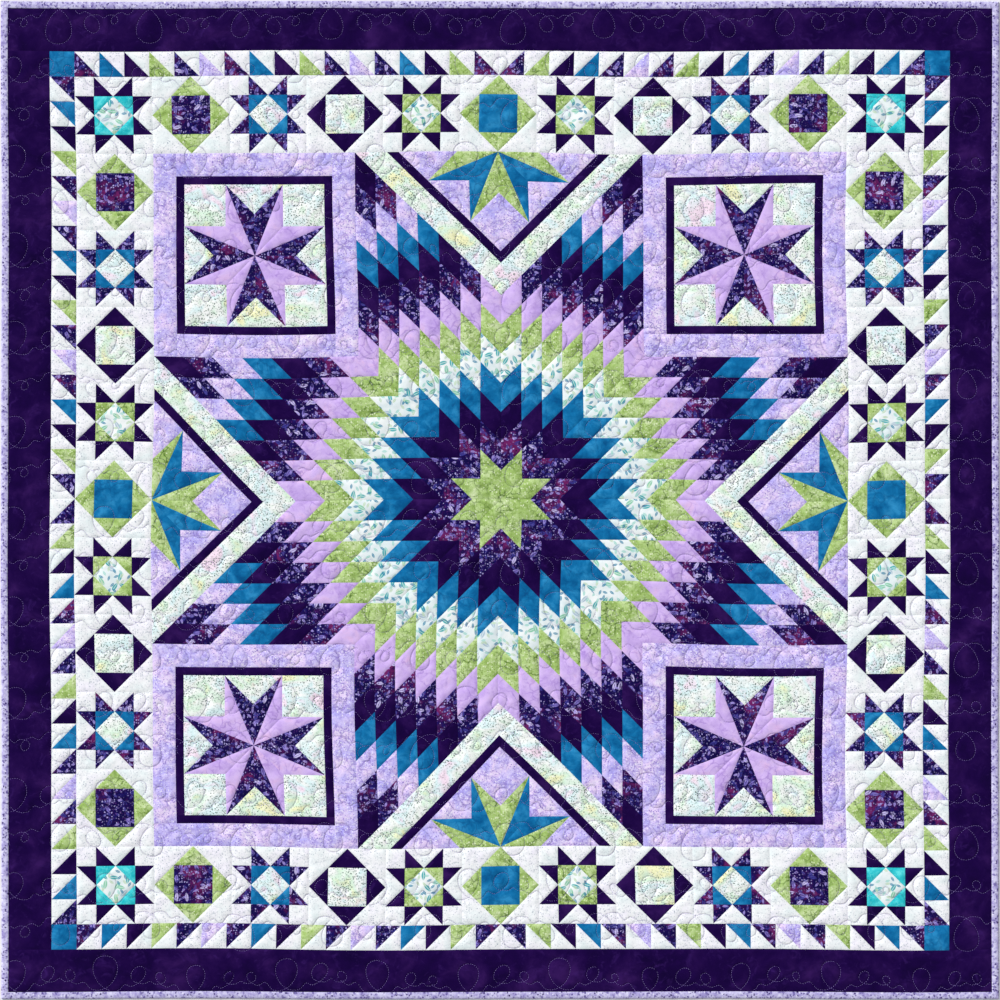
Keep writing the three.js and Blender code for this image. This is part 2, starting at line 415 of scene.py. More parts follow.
def lavender_print(tree, place):
    """Lavender batik: blue and pink lavenders with violet clouds and cracks, under a fine grain."""
    ground = mottled(
        tree,
        place,
        50 * MM,
        [(0.32, "#b2acf6"), (0.42, "#c9bffb"), (0.5, "#dacdfd"), (0.58, "#ecd5fc"), (0.7, "#f5efff")],
    )
    clouds = clouded(tree, place, 15 * MM, 0.51, 0.72, ground, "#9a86d4")
    lit = clouded(tree, place, 31 * MM, 0.58, 0.8, clouds, "#ebe6ff")
    veined = veins(tree, place, 17 * MM, 2.4 * MM, 0.8, lit, "#8c76c6")
    grain = [(0.0, "#7a67ba"), (0.5, "#a08dd8"), (0.8, "#f9f6ff")]
    return specks(tree, place, 3.6 * MM, 0.42, 34 * MM, veined, grain)


def lilac_print(tree, place):
    """Lilac hand-dye: soft pinkish blotches with a few darker cracks."""
    ground = mottled(
        tree, place, 40 * MM, [(0.32, "#c4a6ea"), (0.45, "#d1b4f1"), (0.55, "#dabff5"), (0.68, "#e3bfee")]
    )
    clouds = clouded(tree, place, 16 * MM, 0.52, 0.8, ground, "#ae8cd6")
    return veins(tree, place, 22 * MM, 2.4 * MM, 0.75, clouds, "#a582d0")


def plain_lilac(tree, place):
    """Plain lilac backing: one colour that hardly varies."""
    return mottled(tree, place, 90 * MM, [(0.35, "#cbb0ea"), (0.5, "#d4baef"), (0.65, "#dec9f5")])


lime_cotton = cotton("lime hand-dyed cotton", lime_print)
floral_purple_cotton = cotton("floral purple printed cotton", floral_purple_print)
deep_purple_cotton = cotton("deep purple hand-dyed cotton", deep_purple_print)
teal_cotton = cotton("teal hand-dyed cotton", teal_print)
teal_leaf_cotton = cotton("teal leaf printed cotton", teal_leaf_print)
lavender_cotton = cotton("lavender hand-dyed cotton", lavender_print)
lilac_cotton = cotton("lilac hand-dyed cotton", lilac_print)
backing_cotton = cotton("plain lilac backing cotton", plain_lilac)

STAR_RINGS = [
    lime_cotton, floral_purple_cotton, deep_purple_cotton, teal_cotton, teal_leaf_cotton,
    lime_cotton, lilac_cotton, floral_purple_cotton, deep_purple_cotton, teal_cotton,
    lavender_cotton, floral_purple_cotton, deep_purple_cotton,
]


def pick(panel):
    """Deselects everything, then makes the panel the one selected, active object."""
    bpy.ops.object.select_all(action="DESELECT")
    panel.select_set(True)
    bpy.context.view_layer.objects.active = panel


def read(items, field, width=1, kind=np.float32):
    """One field of a mesh's vertices, edges, corners or faces, as an array."""
    values = np.empty(len(items) * width, kind)
    items.foreach_get(field, values)
    return values.reshape(-1, width) if width > 1 else values


def cloth_grid(name, cells, lower_left, across, up):
    """A flat piece of cloth of cells[0] by cells[1] cells, from its lower left corner along two edges."""
    bpy.ops.object.select_all(action="DESELECT")
    bpy.ops.mesh.primitive_grid_add(x_subdivisions=cells[0], y_subdivisions=cells[1], size=1)
    panel = bpy.context.object
    panel.name = panel.data.name = name
    shares = read(panel.data.vertices, "co", 3) + 0.5
    plan = np.array(lower_left) + shares[:, :1] * np.array(across) + shares[:, 1:2] * np.array(up)
    flat = np.column_stack([plan, np.zeros(len(plan))])
    panel.data.vertices.foreach_set("co", flat.astype(np.float32).ravel())
    return panel


def sew(panel, cottons, which, patch, seed):
    """Gives each face its cotton, which it takes from the list, and the number of its patch. Each
    patch is cut from another spot of its cotton, so its print is shifted by a distance of its own."""
    for cloth in cottons:
        panel.data.materials.append(cloth)
    panel.data.polygons.foreach_set("material_index", which.astype(np.int32))
    patches = panel.data.attributes.new("patch", "INT", "FACE")
    patches.data.foreach_set("value", patch.astype(np.int32))
    shifts = np.random.default_rng(seed).uniform(-3, 3, (int(patch.max()) + 1, 3))[patch]
    cuts = panel.data.attributes.new("cut", "FLOAT_VECTOR", "FACE")
    cuts.data.foreach_set("vector", shifts.astype(np.float32).ravel())


def turned_copy(panel, name, degrees):
    """A copy with its own mesh, turned about the quilt's middle."""
    pick(panel)
    bpy.ops.object.duplicate()
    made = bpy.context.object
    made.name = made.data.name = name
    made.data.transform(Matrix.Rotation(math.radians(degrees), 4, "Z"))
    return made


# The quilting is one motif of a large loop and two smaller ones, with low hops between them, run in
# rows over the whole quilt. Every second row is set half a motif over and stands on its head.
QUILTING_ROWS = 22
ROW_PITCH = 2 * HALF / QUILTING_ROWS
MOTIF = [
    {"advance": 56 * MM, "wide": 35 * MM, "tall": 34 * MM},
    {"advance": 28 * MM, "wide": 0 * MM, "tall": 5 * MM},
    {"advance": 30 * MM, "wide": 21 * MM, "tall": 18 * MM},
    {"advance": 20 * MM, "wide": 0 * MM, "tall": 3 * MM},
    {"advance": 26 * MM, "wide": 15 * MM, "tall": 12 * MM},
    {"advance": 34 * MM, "wide": 0 * MM, "tall": 6 * MM},
]
MOTIF_LENGTH = sum(loop["advance"] for loop in MOTIF)
BASELINE_DROP = 26 * MM  # of a row's loops, below the row's middle
BASELINE_SWAY = 11 * MM  # once a motif, so that the smaller loops stand nearer to the row's middle
BASELINE_WANDER = 5 * MM
WANDER_LENGTH = 2.7 * MOTIF_LENGTH
LOOP_POINTS = 60
HAND_SHARE = 0.18  # how much the loops differ in size, as hand-guided ones do
STITCH_PITCH = 5 * MM  # real ones are 2.5 mm long; drawn longer, so that each one can be a mesh


def quilting_row(row):
    """The row's line of thread as plan points half a stitch apart."""
    turns = np.linspace(0, 1, LOOP_POINTS, endpoint=False)
    x, y = [], []
    hand = np.random.default_rng(row)
    first = -HALF - MOTIF_LENGTH * (1.5 if row % 2 else 1.0)
    start = first
    while start < HALF + MOTIF_LENGTH:
        for loop in MOTIF:
            angle = 2 * math.pi * turns
            size = hand.uniform(1 - HAND_SHARE, 1 + HAND_SHARE)
            x.append(start + loop["advance"] * turns + size * loop["wide"] * np.sin(angle))
            y.append(size * loop["tall"] * (1 - np.cos(angle)))
            start += loop["advance"]
    x, y = np.concatenate(x), np.concatenate(y) - BASELINE_DROP
    large_loop = first + MOTIF[0]["advance"] / 2
    y -= BASELINE_SWAY * np.cos(2 * math.pi * (x - large_loop) / MOTIF_LENGTH)
    y += BASELINE_WANDER * np.sin(2 * math.pi * x / WANDER_LENGTH + row)
    y = (-y if row % 2 else y) - HALF + (row + 0.5) * ROW_PITCH
    run = np.concatenate([[0], np.cumsum(np.hypot(np.diff(x), np.diff(y)))])
    even = np.arange(0, run[-1], STITCH_PITCH / 2)
    return np.column_stack([np.interp(even, run, x), np.interp(even, run, y)])


quilting_rows = [quilting_row(row) for row in range(QUILTING_ROWS)]


def nearest(marks):
    """Marks on the plan, ready for distances to be taken from them."""
    tree = KDTree(len(marks))
    for number, (x, y) in enumerate(marks.tolist()):
        tree.insert((x, y, 0), number)
    tree.balance()
    return tree


def distances(plan, marks):
    """How far each place of the plan is from the nearest mark."""
    return np.array([marks.find((x, y, 0))[2] for x, y in plan.tolist()])


stitch_places = np.concatenate(quilting_rows)
stitch_ways = np.concatenate([np.gradient(line, axis=0) for line in quilting_rows])
stitch_ways /= np.linalg.norm(stitch_ways, axis=1, keepdims=True)
stitches = nearest(stitch_places)

FURROW_SEEN = 6.5 * MM  # how near a line of stitches is for its furrow to be drawn
FURROW_FADE = 2 * MM
FURROW_SHARED = 1.1 * MM  # the same where two stretches of line are close together
STRETCH = 8  # places on the line, half a stitch apart, that count as one stretch


def furrows(mesh, plan):
    """How far each vertex is from the stitches, and its furrow: how far aside their line runs, with a
    sign for the side, and how strongly the furrow shows. The sign means nothing in a face between two
    stretches of line, so there the furrow is drawn only right beside them."""
    found = np.array([stitches.find((x, y, 0))[1:] for x, y in plan.tolist()])
    number, away = found[:, 0].astype(int), found[:, 1]
    off, way = plan - stitch_places[number], stitch_ways[number]
    beside = off[:, 0] * way[:, 1] - off[:, 1] * way[:, 0]
    strength = np.clip((FURROW_SEEN - away) / FURROW_FADE, 0, 1)
    corner = read(mesh.loops, "vertex_index", 1, np.int32)
    first = read(mesh.polygons, "loop_start", 1, np.int32)
    numbers, sides = number[corner], np.sign(beside[corner])
    spread = np.maximum.reduceat(numbers, first) - np.minimum.reduceat(numbers, first)
    is_crossed = np.maximum.reduceat(sides, first) > np.minimum.reduceat(sides, first)
    is_shared = (spread > STRETCH) & is_crossed
    unsure = corner[np.repeat(is_shared, read(mesh.polygons, "loop_total", 1, np.int32))]
    strength[unsure] *= away[unsure] < FURROW_SHARED
    return away, np.column_stack([beside, strength])


# Heights of the face above the surface that the quilt lies on
SEAM_HEIGHT = 3.2 * MM
STITCHED_HEIGHT = 3.6 * MM
PUFF_RISE = 3.8 * MM
PUFF_LENGTH = 146 * MM
PUFF_UNEVEN = 0.4  # how much fuller one puff is than the next
LEAST_PUFF = 0.5
STITCH_REACH = 6 * MM  # how far a line of stitches draws the face down
SEAM_REACH = 6 * MM  # how far a seam keeps the puffs low
SEAM_HOLD = 0.45  # how low it keeps them, beside it
EDGE_REACH = 14 * MM  # how far the binding draws the face down
DITCH = 0.7 * MM  # how deep a seam lies
DITCH_REACH = 2.6 * MM
CRUMPLES = 24  # small waves of the cloth between the stitches
CRUMPLE_RISE = 0.07 * MM
CRUMPLE_LENGTHS = (14 * MM, 45 * MM)


def puff(plan):
    """How full the batting lies, in puffs that change places from row to row, from 0 to 1."""
    row = (plan[:, 1] + HALF) / ROW_PITCH
    shift = np.where(np.floor(row) % 2 == 0, 0, 0.5)
    along = np.cos(2 * math.pi * (plan[:, 0] / PUFF_LENGTH + shift))
    return np.abs(np.sin(math.pi * row)) * (1 - PUFF_UNEVEN + PUFF_UNEVEN * along)


def crumple(plan):
    """Small irregular waves, as washed and quilted cotton has."""
    chance = np.random.default_rng(11)
    rise = np.zeros(len(plan))
    for _ in range(CRUMPLES):
        heading, phase = chance.uniform(0, 2 * math.pi, 2)
        length = chance.uniform(*CRUMPLE_LENGTHS)
        run = plan[:, 0] * math.cos(heading) + plan[:, 1] * math.sin(heading)
        rise += CRUMPLE_RISE * np.sin(2 * math.pi * run / length + phase)
    return rise


# The cloth isn't cut and sewn quite true: slow waves push the plan by a few millimetres, and at the
# quilt's edge, which the binding keeps straight, by a quarter of that
DRIFTS = [
    {"axis": 0, "size": 3.4 * MM, "wave": 1180 * MM, "turn": 0.35, "lean": 0.25},
    {"axis": 0, "size": 1.6 * MM, "wave": 540 * MM, "turn": 2.1, "lean": -0.4},
    {"axis": 1, "size": 3.0 * MM, "wave": 1040 * MM, "turn": 1.3, "lean": 0.3},
    {"axis": 1, "size": 1.5 * MM, "wave": 610 * MM, "turn": 4.4, "lean": -0.35},
]
EDGE_DRIFT = 0.25


def drifted(plan):
    """Where those waves take the places of the plan."""
    rim = np.abs(plan).max(axis=1) / HALF
    share = 1 - (1 - EDGE_DRIFT) * rim**6
    moved = plan.astype(float)
    for drift in DRIFTS:
        along, across = plan[:, 1 - drift["axis"]], plan[:, drift["axis"]]
        turns = (along + drift["lean"] * across) / drift["wave"]
        moved[:, drift["axis"]] += share * drift["size"] * np.sin(2 * math.pi * turns + drift["turn"])
    return moved


SHARPEST_FOLD = math.radians(50)  # that the light still rounds off
FACING_UP = 0.1  # the least upward part of a normal on the top


def quilt(panel):
    """Quilts a flat pieced panel: its face rises between the stitches and dips along its seams, and
    upright sides and a flat underside of backing close the padded sandwich."""
    mesh = panel.data
    plan = read(mesh.vertices, "co", 3)[:, :2]
    ends = read(mesh.edges, "vertices", 2, np.int32)
    corner_edge = read(mesh.loops, "edge_index", 1, np.int32)
    patch = read(mesh.attributes["patch"].data, "value", 1, np.int32)
    corner_patch = np.repeat(patch, read(mesh.polygons, "loop_total", 1, np.int32))
    lowest = np.full(len(ends), patch.max() + 1)
    highest = np.full(len(ends), -1)
    np.minimum.at(lowest, corner_edge, corner_patch)
    np.maximum.at(highest, corner_edge, corner_patch)
    is_rim = np.bincount(corner_edge, minlength=len(ends)) == 1
    is_seam = (lowest != highest) | is_rim
    mesh.edges.foreach_set("use_edge_sharp", is_seam)

    from_seam = distances(plan, nearest(plan[np.unique(ends[is_seam])]))
    from_stitch, furrow = furrows(mesh, plan)
    from_edge = BORDER_OUTER - np.abs(plan).max(axis=1)
    furrow[from_edge <= 0] = 0  # no stitches show there, under the binding
    held = SEAM_HOLD * np.exp(-from_seam / SEAM_REACH)
    loose = (1 - np.exp(-from_stitch / STITCH_REACH)) * (1 - held)
    fullness = LEAST_PUFF + (1 - LEAST_PUFF) * puff(plan)
    free = STITCHED_HEIGHT + PUFF_RISE * fullness * loose + crumple(plan)
    up = SEAM_HEIGHT + (free - SEAM_HEIGHT) * (1 - np.exp(-from_edge / EDGE_REACH))
    up -= DITCH * np.exp(-from_seam / DITCH_REACH)
    shaped = np.column_stack([drifted(plan), up])
    mesh.vertices.foreach_set("co", shaped.astype(np.float32).ravel())

    pick(panel)
    bpy.ops.object.mode_set(mode="EDIT")
    bpy.ops.mesh.select_mode(type="EDGE")
    bpy.ops.mesh.select_all(action="DESELECT")
    bpy.ops.mesh.select_non_manifold()
    bpy.ops.mesh.extrude_region_move()
    bpy.ops.transform.resize(value=(1, 1, 0), orient_type="GLOBAL", center_override=(0, 0, 0))
    bpy.ops.mesh.edge_face_add()
    bpy.ops.mesh.select_all(action="SELECT")
    bpy.ops.mesh.normals_make_consistent(inside=False)
    bpy.ops.object.mode_set(mode="OBJECT")
    drawn = np.zeros((len(mesh.vertices), 3), np.float32)
    drawn[: len(plan), :2] = furrow
    mesh.attributes.new("furrow", "FLOAT_VECTOR", "POINT").data.foreach_set("vector", drawn.ravel())
    mesh.materials.append(backing_cotton)
    slots = read(mesh.polygons, "material_index", 1, np.int32)
    is_backing = read(mesh.polygons, "normal", 3)[:, 2] < FACING_UP  # the sides and the underside
    slots[is_backing] = len(mesh.materials) - 1
    mesh.polygons.foreach_set("material_index", slots)
    bpy.ops.object.shade_smooth_by_angle(angle=SHARPEST_FOLD, keep_sharp_edges=True)


lean = POINT_SIDE / math.sqrt(2)
point_cells = SMALL_DIAMONDS * DIAMOND_CELLS
star_point = cloth_grid("flat_star_point", (point_cells, point_cells), (0, 0), (POINT_SIDE, 0), (lean, lean))
centre = read(star_point.data.polygons, "center", 3)
row = np.floor(centre[:, 1] / lean * SMALL_DIAMONDS).astype(int)
column = np.floor((centre[:, 0] - centre[:, 1]) / POINT_SIDE * SMALL_DIAMONDS).astype(int)
star_cottons = list(dict.fromkeys(STAR_RINGS))
ring_cotton = np.array([star_cottons.index(cloth) for cloth in STAR_RINGS])
sew(star_point, star_cottons, ring_cotton[row + column], row * SMALL_DIAMONDS + column, seed=1)

for number in range(8):
    piece = turned_copy(star_point, f"quilted_star_point_{number + 1}", 45 * number)
    quilt(piece)
    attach(piece, "root")
    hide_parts(f"star_point_{number + 1}")
bpy.data.objects.remove(star_point)

# Corner squares
# Four squares set between the star points. Each is a small eight-pointed star of diamonds that are
# split lengthwise, on a pastel speckled ground, in a narrow deep purple frame and a lavender margin.

SETTING_CELLS = point_cells  # along a side, as on a star point
BLOCK_HALF = 34  # in cells, as the next three are
FRAME_HALF = 38
STAR_STEP = 14  # from the block's axes to the outer sides of the diamonds
DIAMOND_SIDE = 20


def pale_speckle_print(tree, place):
    """Pastel print: pools of pink, aqua, mint and yellow on white, under grey-green specks."""
    ground = mottled(
        tree,
        place,
        70 * MM,
        [(0.34, "#fde6f6"), (0.42, "#e0fafb"), (0.5, "#fcfefb"), (0.58, "#def9e2"), (0.66, "#fafac8")],
        detail=2.5,
    )
    warmed = clouded(tree, place, 55 * MM, 0.62, 0.74, ground, "#fcdad6")
    greys = [(0.0, "#3c544c"), (0.6, "#71877d"), (0.85, "#ffffff")]
    return specks(tree, place, 3.5 * MM, 0.47, 44 * MM, warmed, greys)


pale_speckle_cotton = cotton("pastel speckled cotton", pale_speckle_print)


def split_cells(panel, rising):
    """Cuts every square cell in two, along its rising diagonal or else its falling one."""
    pick(panel)
    bpy.ops.object.mode_set(mode="EDIT")
    bpy.ops.mesh.select_mode(type="FACE")
    bpy.ops.mesh.select_all(action="DESELECT")
    bpy.ops.object.mode_set(mode="OBJECT")
    panel.data.polygons.foreach_set("select", rising)
    bpy.ops.object.mode_set(mode="EDIT")
    bpy.ops.mesh.quads_convert_to_tris(quad_method="FIXED")
    bpy.ops.mesh.select_face_by_sides(number=4, extend=False)
    bpy.ops.mesh.quads_convert_to_tris(quad_method="FIXED_ALTERNATE")
    bpy.ops.object.mode_set(mode="OBJECT")


def cells_from(panel, middle, cell):
    """The middles of the panel's faces, in cells from a point of the plan."""
    return (read(panel.data.polygons, "center", 3)[:, :2] - np.array(middle)) / cell


def star_block(at):
    """The part of the framed star block that each face lies in, and its patch. The parts are the
    margin, the frame, the ground, and the halves of the diamonds along the axes and the diagonals."""
    long, short = np.abs(at).max(axis=1), np.abs(at).min(axis=1)
    is_star = (short < STAR_STEP) & (long - short < DIAMOND_SIDE)
    is_axial = short / long < STAR_STEP / BLOCK_HALF
    part = np.select([long > FRAME_HALF, long > BLOCK_HALF, ~is_star, is_axial], [0, 1, 2, 3], 4)
    quadrant = (at[:, 0] > 0) * 2 + (at[:, 1] > 0)
    side = np.where(np.abs(at[:, 1]) >= np.abs(at[:, 0]), at[:, 1] > 0, 2 + (at[:, 0] > 0))
    octant = quadrant * 2 + (np.abs(at[:, 0]) > np.abs(at[:, 1]))
    strip = np.where(np.abs(at[:, 1]) > np.where(part == 0, FRAME_HALF, BLOCK_HALF), at[:, 1] > 0, side)
    ground = np.where(short > STAR_STEP, quadrant, 4 + side)
    numbers = [strip, 4 + strip, 8 + ground, 16 + octant]
    patch = np.select([part == 0, part == 1, part == 2, part == 3], numbers, 24 + octant)
    return part, patch


setting_cell = POINT_SIDE / SETTING_CELLS
drop = POINT_SIDE / math.sqrt(2)
square_middle = (drop + STAR_HALF) / 2
setting_square = cloth_grid(
    "flat_setting_square", (SETTING_CELLS, SETTING_CELLS), (drop, drop), (POINT_SIDE, 0), (0, POINT_SIDE)
)
at = cells_from(setting_square, (square_middle, square_middle), setting_cell)
split_cells(setting_square, at[:, 0] * at[:, 1] > 0)
for along, aside in ((BLOCK_HALF, STAR_STEP), (STAR_STEP, BLOCK_HALF)):
    for lean_way in (1, -1):
        at = cells_from(setting_square, (square_middle, square_middle), setting_cell)
        setting_square.data.polygons.foreach_set("select", star_block(at)[0] > 2)
        bpy.ops.object.mode_set(mode="EDIT")
        across_seam = Vector((aside * lean_way, -along, 0)).normalized()
        bpy.ops.mesh.bisect(plane_co=(square_middle, square_middle, 0), plane_no=across_seam)
        bpy.ops.object.mode_set(mode="OBJECT")

corner_square = turned_copy(setting_square, "flat_corner_square", 0)
part, patch = star_block(cells_from(corner_square, (square_middle, square_middle), setting_cell))
corner_cottons = [
    lavender_cotton, deep_purple_cotton, pale_speckle_cotton, floral_purple_cotton, lilac_cotton
]
sew(corner_square, corner_cottons, part, patch, seed=2)
for number in range(4):
    piece = turned_copy(corner_square, f"quilted_corner_square_{number + 1}", 90 * number)
    quilt(piece)
    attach(piece, "root")
    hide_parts(f"corner_square_{number + 1}")
bpy.data.objects.remove(corner_square)

# Side triangles
# Four triangles set between the star points along the sides. Each is the same block on its point, cut
# from corner to corner, so that half a star stands on the outer seam.

side_triangle = setting_square
side_triangle.name = side_triangle.data.name = "flat_side_triangle"
to_middle = Matrix.Translation((-square_middle, -square_middle, 0))
on_point = Matrix.Rotation(math.radians(-45), 4, "Z")
part, patch = star_block(cells_from(side_triangle, (square_middle, square_middle), setting_cell))
side_cottons = [pale_speckle_cotton, deep_purple_cotton, lavender_cotton, teal_cotton, lime_cotton]
sew(side_triangle, side_cottons, part, patch, seed=3)
pick(side_triangle)
at = cells_from(side_triangle, (square_middle, square_middle), setting_cell)
side_triangle.data.polygons.foreach_set("select", at.sum(axis=1) > 0)
bpy.ops.object.mode_set(mode="EDIT")
bpy.ops.mesh.delete(type="FACE")
bpy.ops.object.mode_set(mode="OBJECT")
side_triangle.data.transform(Matrix.Translation((STAR_HALF, 0, 0)) @ on_point @ to_middle)
for number in range(4):
    piece = turned_copy(side_triangle, f"quilted_side_triangle_{number + 1}", 90 * number)
    quilt(piece)
    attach(piece, "root")
    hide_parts(f"side_triangle_{number + 1}")
bpy.data.objects.remove(side_triangle)

# Block border
# A ring of forty pieced blocks on a white ground: eight-pointed variable stars that alternate with
# squares set in diamonds. Its top and bottom strips run the whole length, the sides fit between.

BLOCK_CELLS = 40
QUARTER = BLOCK_CELLS // 4
BLOCK_PATCHES = 32  # numbers kept for a block's patches
SIDES = {"top": 0, "left": 1, "bottom": 2, "right": 3}  # quarter turns from the top


def white_print(tree, place):
    """White tone-on-tone print: cool white with faint grey cracks and specks."""
    ground = mottled(tree, place, 60 * MM, [(0.34, "#ebf6f6"), (0.5, "#fafcfd"), (0.64, "#f8f5ff")])
    veined = veins(tree, place, 9 * MM, 1.1 * MM, 0.6, ground, "#c6cdd4")
    greys = [(0.0, "#a3adb9"), (0.45, "#c4ccd5"), (0.85, "#ffffff")]
    return specks(tree, place, 4.4 * MM, 0.36, 60 * MM, veined, greys)


def aqua_print(tree, place):
    """Aqua batik: bright, with a net of paler cracks."""
    ground = mottled(tree, place, 22 * MM, [(0.34, "#1eb3bf"), (0.5, "#35cbd4"), (0.66, "#66e8ea")])
    return veins(tree, place, 7 * MM, 0.8 * MM, 0.5, ground, "#8df2ee")


white_cotton = cotton("white speckled cotton", white_print)
aqua_cotton = cotton("aqua hand-dyed cotton", aqua_print)
border_cottons = [
    white_cotton, deep_purple_cotton, floral_purple_cotton, lime_cotton,
    teal_cotton, aqua_cotton, teal_leaf_cotton, pale_speckle_cotton,
]
WHITE, DEEP, FLORAL, LIME, TEAL, AQUA, LEAF, SPECKLE = range(len(border_cottons))
# A star's points, the square round its middle and its middle, and a diamond and the square in it.
# The columns repeat outwards from the middle of each side.
STAR_CHOICES = np.array([[DEEP, LIME, LEAF], [FLORAL, TEAL, SPECKLE], [DEEP, AQUA, LEAF]])
SQUARE_CHOICES = np.array([[LIME, TEAL], [DEEP, SPECKLE], [LIME, FLORAL], [DEEP, AQUA], [LIME, LEAF]])


def border_strip(name, side, outer, inner, cell_count, cell_depth):
    """A flat strip of a border that lies along the top, as long as that side's strip."""
    reach = outer if side in ("top", "bottom") else inner
    width = outer - inner
    return cloth_grid(name, (cell_count, cell_depth), (-reach, inner), (2 * reach, 0), (0, width))


def border_block(at, block, is_star):
    """Each face's cotton and patch in the blocks of a border strip."""
    across, up = np.abs(at[:, 0]), np.abs(at[:, 1])
    long, short = np.maximum(across, up), np.minimum(across, up)
    quadrant = (at[:, 0] > 0) * 2 + (at[:, 1] > 0)
    side = np.where(up >= across, at[:, 1] > 0, 2 + (at[:, 0] > 0))
    points, around, middle = STAR_CHOICES[block % len(STAR_CHOICES)].T
    diamond, square = SQUARE_CHOICES[block % len(SQUARE_CHOICES)].T
    in_middle, in_square = across + up < QUARTER, long < QUARTER
    is_corner, is_goose = short > QUARTER, long - short > QUARTER
    star_cotton = np.select([in_middle, in_square, is_corner | is_goose], [middle, around, WHITE], points)
    star_patch = np.select(
        [in_middle, in_square, is_corner, is_goose],
        [0, 1 + quadrant, 5 + quadrant, 9 + side],
        13 + quadrant * 2 + (across > up),
    )
    square_cotton = np.select([in_square, across + up < 2 * QUARTER], [square, diamond], WHITE)
    square_patch = np.select([in_square, across + up < 2 * QUARTER], [0, 1 + side], 5 + quadrant)
    return np.where(is_star, star_cotton, square_cotton), np.where(is_star, star_patch, square_patch)


def block_places(strip, count):
    """For each face its place in its block, in cells, the block's number, how many blocks that is
    from the middle, and if the block is a star."""
    centre = read(strip.data.polygons, "center", 3)[:, :2]
    along = centre[:, 0] / BLOCK + count / 2
    number = np.floor(along).astype(int)
    up = (centre[:, 1] - STAR_HALF) / BLOCK
    at = np.column_stack([along - number - 0.5, up - 0.5]) * BLOCK_CELLS
    from_middle = np.abs(number - count // 2)
    return at, number, from_middle, from_middle % 2 == 1


for side, quarters in SIDES.items():
    count = BLOCKS_PER_SIDE if side in ("top", "bottom") else BLOCKS_PER_SIDE - 2
    strip = border_strip("flat_strip", side, TEETH_INNER, STAR_HALF, count * BLOCK_CELLS, BLOCK_CELLS)
    at, _, _, is_star = block_places(strip, count)
    in_middle = np.abs(at).max(axis=1) < QUARTER
    split_cells(strip, (at[:, 0] * at[:, 1] > 0) == (is_star & ~in_middle))
    at, number, from_middle, is_star = block_places(strip, count)
    which, patch = border_block(at, from_middle // 2, is_star)
    sew(strip, border_cottons, which, number * BLOCK_PATCHES + patch, seed=10 + quarters)
    piece = turned_copy(strip, f"quilted_block_border_{side}", 90 * quarters)
    bpy.data.objects.remove(strip)
    quilt(piece)
    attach(piece, "root")
    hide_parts(f"block_border_{side}")

# Sawtooth border
# A narrow strip of half-square triangles, coloured ones against white, that point outwards from the
# middle of each side, with a plain teal square at each corner.

TOOTH_CELLS = 12
tooth_cottons = [
    white_cotton, floral_purple_cotton, lime_cotton, teal_cotton, lavender_cotton, deep_purple_cotton
]
TOOTH_CHOICES = np.array([1, 2, 5, 3, 1, 4])  # places in that list, outwards from the middle


def tooth_places(strip, count):
    """For each face its tooth, its place across and up it, and if it is right of the middle."""
    centre = read(strip.data.polygons, "center", 3)[:, :2]
    along = centre[:, 0] / TOOTH + count / 2
    number = np.floor(along).astype(int)
    return number, along - number, (centre[:, 1] - TEETH_INNER) / TOOTH, number >= count // 2


for side, quarters in SIDES.items():
    count = TEETH_PER_SIDE if side in ("top", "bottom") else TEETH_PER_SIDE - 2
    strip = border_strip("flat_strip", side, BORDER_INNER, TEETH_INNER, count * TOOTH_CELLS, TOOTH_CELLS)
    split_cells(strip, tooth_places(strip, count)[-1])
    number, across, up, is_right = tooth_places(strip, count)
    is_tooth = up < np.where(is_right, across, 1 - across)
    from_middle = np.where(is_right, number - count // 2, count // 2 - 1 - number)
    which = np.where(is_tooth, TOOTH_CHOICES[from_middle % len(TOOTH_CHOICES)], 0)
    patch = 2 * number + is_tooth
    is_corner = from_middle >= TEETH_PER_SIDE // 2 - 1
    which = np.where(is_corner, tooth_cottons.index(teal_cotton), which)
    sew(strip, tooth_cottons, which, np.where(is_corner, 2 * number, patch), seed=20 + quarters)
    piece = turned_copy(strip, f"quilted_sawtooth_border_{side}", 90 * quarters)
    bpy.data.objects.remove(strip)
    quilt(piece)
    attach(piece, "root")
    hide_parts(f"sawtooth_border_{side}")

# Outer border
# Four plain strips of deep purple cotton, butted at the corners, with nothing on them but the pale
# quilting thread.

BORDER_CELLS = 21  # across; the cells are square
border_cell = OUTER_BORDER_WIDTH / BORDER_CELLS
for side, quarters in SIDES.items():
    reach = BORDER_OUTER if side in ("top", "bottom") else BORDER_INNER
    cell_count = round(2 * reach / border_cell)
    strip = border_strip("flat_strip", side, BORDER_OUTER, BORDER_INNER, cell_count, BORDER_CELLS)
    faces = len(strip.data.polygons)
    sew(strip, [deep_purple_cotton], np.zeros(faces, int), np.zeros(faces, int), seed=30 + quarters)
    piece = turned_copy(strip, f"quilted_outer_border_{side}", 90 * quarters)
    bpy.data.objects.remove(strip)
    quilt(piece)
    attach(piece, "root")
    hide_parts(f"outer_border_{side}")

# Binding
# A lilac printed cotton strip, doubled and folded over the raw edge, machine sewn to the face and
# slip-stitched to the back, with mitred corners. It is a U of cloth round the edge of the sandwich.

BINDING_CLOTH = 0.8 * MM  # two layers of cotton
BINDING_STEP = 6 * MM
